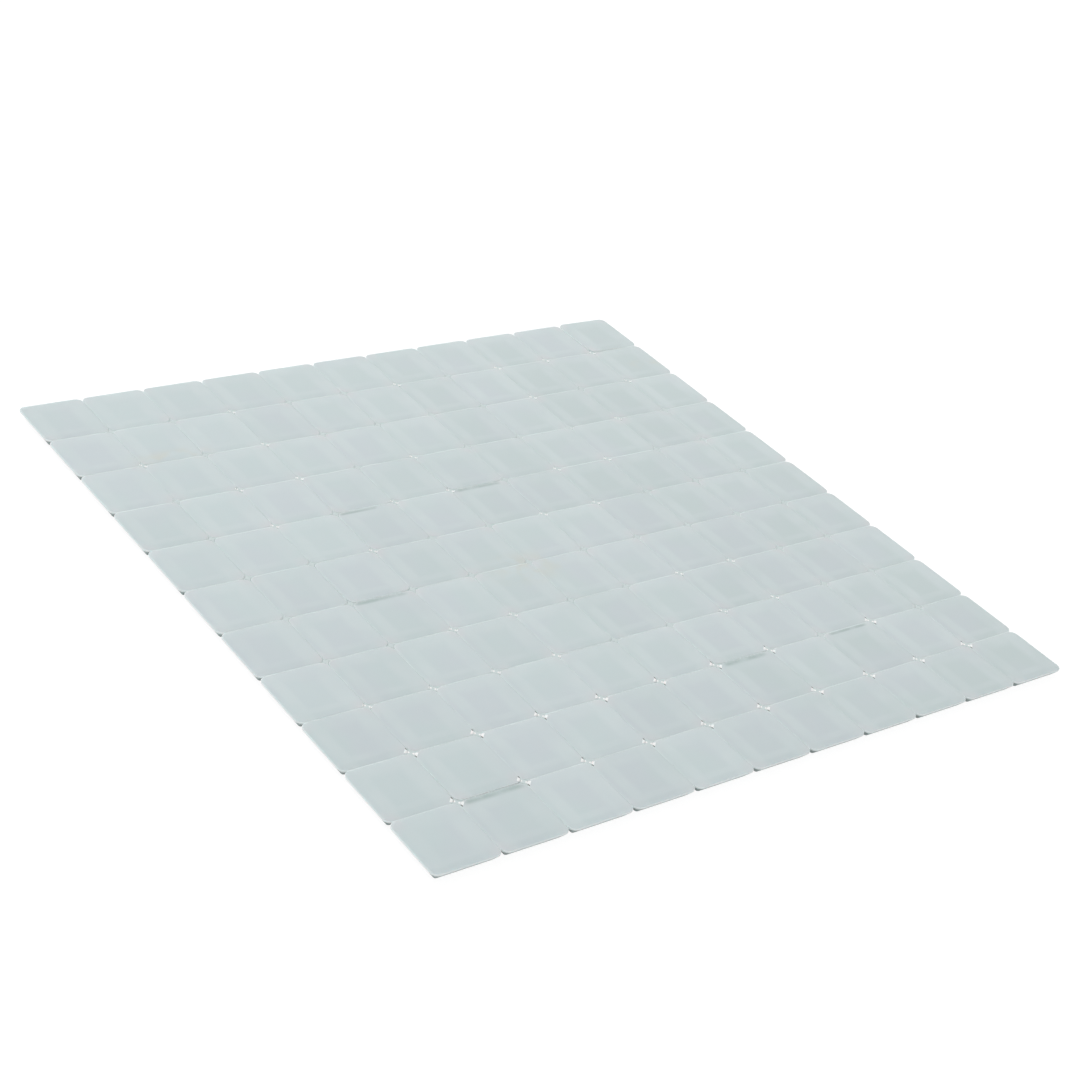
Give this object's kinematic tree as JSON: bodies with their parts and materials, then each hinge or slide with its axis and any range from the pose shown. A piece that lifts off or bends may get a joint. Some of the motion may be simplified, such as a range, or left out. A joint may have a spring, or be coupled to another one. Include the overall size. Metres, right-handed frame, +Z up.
{
  "type": "mosaic tile sheet",
  "caption": "Square sheet of small pressed glass mosaic tiles in straight rows with narrow open joints, joined at the back by flat glue dots at the joint crossings.",
  "frame": {"origin": "middle of the sheet, on the level that its glue dots rest on", "axes": "+Z up out of the tiles' faces, +X along the rows, +Y from row to row"},
  "size_m": [0.2834, 0.2834, 0.0037],
  "materials": {
    "tile_glass": "satin opaque pale blue-grey glass",
    "glue_dot": "matte milky white"
  },
  "bodies": {
    "root": {"tile_row_01": "tile_glass", "tile_row_02": "tile_glass", "tile_row_03": "tile_glass", "tile_row_04": "tile_glass", "tile_row_05": "tile_glass", "tile_row_06": "tile_glass", "tile_row_07": "tile_glass", "tile_row_08": "tile_glass", "tile_row_09": "tile_glass", "tile_row_10": "tile_glass", "tile_row_11": "tile_glass", "dot_row_01": "glue_dot", "dot_row_02": "glue_dot", "dot_row_03": "glue_dot", "dot_row_04": "glue_dot", "dot_row_05": "glue_dot", "dot_row_06": "glue_dot", "dot_row_07": "glue_dot", "dot_row_08": "glue_dot", "dot_row_09": "glue_dot", "dot_row_10": "glue_dot", "edge_dots_near": "glue_dot", "edge_dots_far": "glue_dot", "edge_dots_left": "glue_dot", "edge_dots_right": "glue_dot"}
  },
  "joints": []
}
